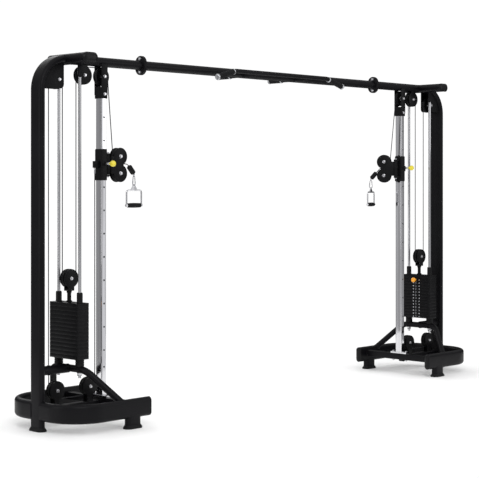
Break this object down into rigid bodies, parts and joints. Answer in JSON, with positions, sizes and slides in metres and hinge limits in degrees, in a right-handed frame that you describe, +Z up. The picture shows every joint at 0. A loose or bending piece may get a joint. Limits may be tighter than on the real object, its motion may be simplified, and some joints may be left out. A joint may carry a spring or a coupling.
{
  "type": "cable crossover machine",
  "caption": "Cable crossover machine: weight-stack towers with pulley carriages that slide on chromed columns, joined by an overhead beam with pull-up grips.",
  "frame": {"origin": "on the floor, below the middle of the crossbeam", "axes": "+X along the crossbeam, +Z up, and -Y towards the side with the pull-up bar and the pop pins"},
  "size_m": [4.257, 0.764, 2.3789],
  "materials": {
    "frame_paint": "satin black powder coat",
    "bracket_paint": "satin black powder coat on bent plate",
    "chromed_steel": "polished chrome plate",
    "zinc_steel": "bright zinc plate",
    "grip_rubber": "matt moulded rubber",
    "black_rubber": "matt moulded rubber",
    "cap_plastic": "satin moulded plastic",
    "weight_plate_iron": "black painted iron",
    "blackened_steel": "blackened steel",
    "cable_coating": "nylon jacket over wire rope",
    "selector_knob": "glossy moulded knob on a steel pin",
    "pop_pin_knob": "glossy moulded knob on a steel pin",
    "pulley_nylon": "satin moulded nylon"
  },
  "bodies": {
    "root": {"base_frames": "frame_paint", "main_uprights": "frame_paint", "stack_hoops": "frame_paint", "top_tubes": "frame_paint", "center_beam": "frame_paint", "pull_up_bar": "frame_paint", "pull_up_grips": "grip_rubber", "columns": "chromed_steel", "head_brackets": "bracket_paint", "pulley_plates": "bracket_paint", "guide_rods": "chromed_steel", "weight_plates": "weight_plate_iron", "rubber_feet_and_bumpers": "black_rubber", "tube_end_caps": "cap_plastic", "frame_bolts": "zinc_steel", "frame_cables": "cable_coating", "left_stack_cable": "cable_coating", "left_anchor_cable": "cable_coating", "right_stack_cable": "cable_coating", "right_anchor_cable": "cable_coating"},
    "left_stack": {"left_stack_head": "weight_plate_iron", "left_lift_stem": "blackened_steel"},
    "left_selector": {"left_selector_pin": "selector_knob"},
    "left_carriage_body": {"left_carriage": "bracket_paint"},
    "left_pop_pin_body": {"left_pop_pin": "pop_pin_knob"},
    "left_swivel": {"left_swivel_bracket": "bracket_paint", "left_swivel_cable": "cable_coating", "left_handle_cable": "cable_coating"},
    "left_pull": {"left_cable_stopper": "black_rubber"},
    "left_clip": {"left_carabiner": "zinc_steel"},
    "left_handle": {"left_handle_frame": "chromed_steel", "left_handle_grip": "grip_rubber"},
    "left_stack_wheel": {"left_stack_pulley": "pulley_nylon"},
    "left_outer_wheel": {"left_outer_pulley": "pulley_nylon"},
    "left_middle_wheel": {"left_middle_pulley": "pulley_nylon"},
    "left_head_wheel": {"left_head_pulley": "pulley_nylon"},
    "left_bottom_outer_wheel": {"left_bottom_outer_pulley": "pulley_nylon"},
    "left_bottom_inner_wheel": {"left_bottom_inner_pulley": "pulley_nylon"},
    "left_upper_carriage_wheel": {"left_upper_carriage_pulley": "pulley_nylon"},
    "left_lower_carriage_wheel": {"left_lower_carriage_pulley": "pulley_nylon"},
    "right_stack": {"right_stack_head": "weight_plate_iron", "right_lift_stem": "blackened_steel"},
    "right_selector": {"right_selector_pin": "selector_knob"},
    "right_carriage_body": {"right_carriage": "bracket_paint"},
    "right_pop_pin_body": {"right_pop_pin": "pop_pin_knob"},
    "right_swivel": {"right_swivel_bracket": "bracket_paint", "right_swivel_cable": "cable_coating", "right_handle_cable": "cable_coating"},
    "right_pull": {"right_cable_stopper": "black_rubber"},
    "right_clip": {"right_carabiner": "zinc_steel"},
    "right_handle": {"right_handle_frame": "chromed_steel", "right_handle_grip": "grip_rubber"},
    "right_stack_wheel": {"right_stack_pulley": "pulley_nylon"},
    "right_outer_wheel": {"right_outer_pulley": "pulley_nylon"},
    "right_middle_wheel": {"right_middle_pulley": "pulley_nylon"},
    "right_head_wheel": {"right_head_pulley": "pulley_nylon"},
    "right_bottom_outer_wheel": {"right_bottom_outer_pulley": "pulley_nylon"},
    "right_bottom_inner_wheel": {"right_bottom_inner_pulley": "pulley_nylon"},
    "right_upper_carriage_wheel": {"right_upper_carriage_pulley": "pulley_nylon"},
    "right_lower_carriage_wheel": {"right_lower_carriage_pulley": "pulley_nylon"}
  },
  "joints": [
    {"name": "left_stack_lift", "type": "slide", "parent": "root", "child": "left_stack", "axis": [0, 0, 1], "range_m": [0, 0.8], "deforming": ["left_stack_cable"]},
    {"name": "left_selector_pull", "type": "slide", "parent": "left_stack", "child": "left_selector", "axis": [1, 0, 0], "range_m": [0, 0.062]},
    {"name": "left_carriage_slide", "type": "slide", "parent": "root", "child": "left_carriage_body", "axis": [0, 0, 1], "range_m": [-1.2, 0.3], "deforming": ["left_handle_cable", "left_anchor_cable"]},
    {"name": "left_pop_pin_pull", "type": "slide", "parent": "left_carriage_body", "child": "left_pop_pin_body", "axis": [0, -1, 0], "range_m": [0, 0.012], "stiffness_N_per_m": 600, "springref_m": -0.02},
    {"name": "left_swivel_turn", "type": "hinge", "parent": "left_carriage_body", "child": "left_swivel", "pos_m": [-1.529, 0, 1.6535], "axis": [0, 0, 1], "range_deg": [-80, 80]},
    {"name": "left_handle_pull", "type": "slide", "parent": "left_swivel", "child": "left_pull", "axis": [0.6561, 0, -0.7547], "range_m": [0, 1.6]},
    {"name": "left_clip_swing", "type": "hinge", "parent": "left_pull", "child": "left_clip", "pos_m": [-1.29989, 0, 1.58241], "axis": [0, 1, 0], "range_deg": [-20, 20]},
    {"name": "left_handle_swing", "type": "hinge", "parent": "left_clip", "child": "left_handle", "pos_m": [-1.29989, 0, 1.51701], "axis": [0, 1, 0], "range_deg": [-30, 30]},
    {"name": "left_head_turn", "type": "hinge", "parent": "root", "child": "left_head_wheel", "pos_m": [-1.584, 0, 2.2215], "axis": [0, 1, 0], "continuous": true},
    {"name": "left_middle_turn", "type": "hinge", "parent": "root", "child": "left_middle_wheel", "pos_m": [-1.737, 0, 2.2215], "axis": [0, 1, 0], "continuous": true},
    {"name": "left_stack_turn", "type": "hinge", "parent": "left_stack", "child": "left_stack_wheel", "pos_m": [-1.847, 0, 0.933], "axis": [0, 1, 0], "continuous": true},
    {"name": "left_outer_turn", "type": "hinge", "parent": "root", "child": "left_outer_wheel", "pos_m": [-1.957, 0, 2.182], "axis": [0, 1, 0], "continuous": true},
    {"name": "left_bottom_outer_turn", "type": "hinge", "parent": "root", "child": "left_bottom_outer_wheel", "pos_m": [-1.957, 0, 0.236], "axis": [0, 1, 0], "continuous": true},
    {"name": "left_bottom_inner_turn", "type": "hinge", "parent": "root", "child": "left_bottom_inner_wheel", "pos_m": [-1.692, 0, 0.236], "axis": [0, 1, 0], "continuous": true},
    {"name": "left_upper_carriage_turn", "type": "hinge", "parent": "left_swivel", "child": "left_upper_carriage_wheel", "pos_m": [-1.436, 0, 1.7085], "axis": [0, 1, 0], "continuous": true},
    {"name": "left_lower_carriage_turn", "type": "hinge", "parent": "left_swivel", "child": "left_lower_carriage_wheel", "pos_m": [-1.436, 0, 1.5985], "axis": [0, 1, 0], "continuous": true},
    {"name": "right_stack_lift", "type": "slide", "parent": "root", "child": "right_stack", "axis": [0, 0, 1], "range_m": [0, 0.8], "deforming": ["right_stack_cable"]},
    {"name": "right_selector_pull", "type": "slide", "parent": "right_stack", "child": "right_selector", "axis": [-1, 0, 0], "range_m": [0, 0.062]},
    {"name": "right_carriage_slide", "type": "slide", "parent": "root", "child": "right_carriage_body", "axis": [0, 0, 1], "range_m": [-1.2, 0.3], "deforming": ["right_handle_cable", "right_anchor_cable"]},
    {"name": "right_pop_pin_pull", "type": "slide", "parent": "right_carriage_body", "child": "right_pop_pin_body", "axis": [0, -1, 0], "range_m": [0, 0.012], "stiffness_N_per_m": 600, "springref_m": -0.02},
    {"name": "right_swivel_turn", "type": "hinge", "parent": "right_carriage_body", "child": "right_swivel", "pos_m": [1.529, 0, 1.6535], "axis": [0, 0, 1], "range_deg": [-20, 140]},
    {"name": "right_handle_pull", "type": "slide", "parent": "right_swivel", "child": "right_pull", "axis": [-0.328, 0.5682, -0.7547], "range_m": [0, 1.6]},
    {"name": "right_clip_swing", "type": "hinge", "parent": "right_pull", "child": "right_clip", "pos_m": [1.42795, 0.17503, 1.55826], "axis": [-0.2588, 0.9659, 0], "range_deg": [-20, 20]},
    {"name": "right_handle_swing", "type": "hinge", "parent": "right_clip", "child": "right_handle", "pos_m": [1.42795, 0.17503, 1.49286], "axis": [-0.2588, 0.9659, 0], "range_deg": [-30, 30]},
    {"name": "right_head_turn", "type": "hinge", "parent": "root", "child": "right_head_wheel", "pos_m": [1.584, 0, 2.2215], "axis": [0, 1, 0], "continuous": true},
    {"name": "right_middle_turn", "type": "hinge", "parent": "root", "child": "right_middle_wheel", "pos_m": [1.737, 0, 2.2215], "axis": [0, 1, 0], "continuous": true},
    {"name": "right_stack_turn", "type": "hinge", "parent": "right_stack", "child": "right_stack_wheel", "pos_m": [1.847, 0, 0.933], "axis": [0, 1, 0], "continuous": true},
    {"name": "right_outer_turn", "type": "hinge", "parent": "root", "child": "right_outer_wheel", "pos_m": [1.957, 0, 2.182], "axis": [0, 1, 0], "continuous": true},
    {"name": "right_bottom_outer_turn", "type": "hinge", "parent": "root", "child": "right_bottom_outer_wheel", "pos_m": [1.957, 0, 0.236], "axis": [0, 1, 0], "continuous": true},
    {"name": "right_bottom_inner_turn", "type": "hinge", "parent": "root", "child": "right_bottom_inner_wheel", "pos_m": [1.692, 0, 0.236], "axis": [0, 1, 0], "continuous": true},
    {"name": "right_upper_carriage_turn", "type": "hinge", "parent": "right_swivel", "child": "right_upper_carriage_wheel", "pos_m": [1.4825, 0.08054, 1.7085], "axis": [0.866, 0.5, 0], "continuous": true},
    {"name": "right_lower_carriage_turn", "type": "hinge", "parent": "right_swivel", "child": "right_lower_carriage_wheel", "pos_m": [1.4825, 0.08054, 1.5985], "axis": [0.866, 0.5, 0], "continuous": true}
  ],
  "couplings": [
    {"joint": "left_head_turn", "follows": "left_stack_lift", "rad_per_m": 36.364},
    {"joint": "left_middle_turn", "follows": "left_stack_lift", "rad_per_m": 36.364},
    {"joint": "left_stack_turn", "follows": "left_stack_lift", "rad_per_m": -18.182},
    {"joint": "left_outer_turn", "follows": "left_carriage_slide", "rad_per_m": -18.182},
    {"joint": "left_bottom_outer_turn", "follows": "left_carriage_slide", "rad_per_m": -18.182},
    {"joint": "left_bottom_inner_turn", "follows": "left_carriage_slide", "rad_per_m": -18.182},
    {"joint": "left_upper_carriage_turn", "follows": "left_stack_lift", "rad_per_m": -41.667},
    {"joint": "left_handle_pull", "follows": "left_stack_lift", "ratio": 2},
    {"joint": "right_head_turn", "follows": "right_stack_lift", "rad_per_m": -36.364},
    {"joint": "right_middle_turn", "follows": "right_stack_lift", "rad_per_m": -36.364},
    {"joint": "right_stack_turn", "follows": "right_stack_lift", "rad_per_m": 18.182},
    {"joint": "right_outer_turn", "follows": "right_carriage_slide", "rad_per_m": 18.182},
    {"joint": "right_bottom_outer_turn", "follows": "right_carriage_slide", "rad_per_m": 18.182},
    {"joint": "right_bottom_inner_turn", "follows": "right_carriage_slide", "rad_per_m": 18.182},
    {"joint": "right_upper_carriage_turn", "follows": "right_stack_lift", "rad_per_m": 41.667},
    {"joint": "right_handle_pull", "follows": "right_stack_lift", "ratio": 2}
  ]
}
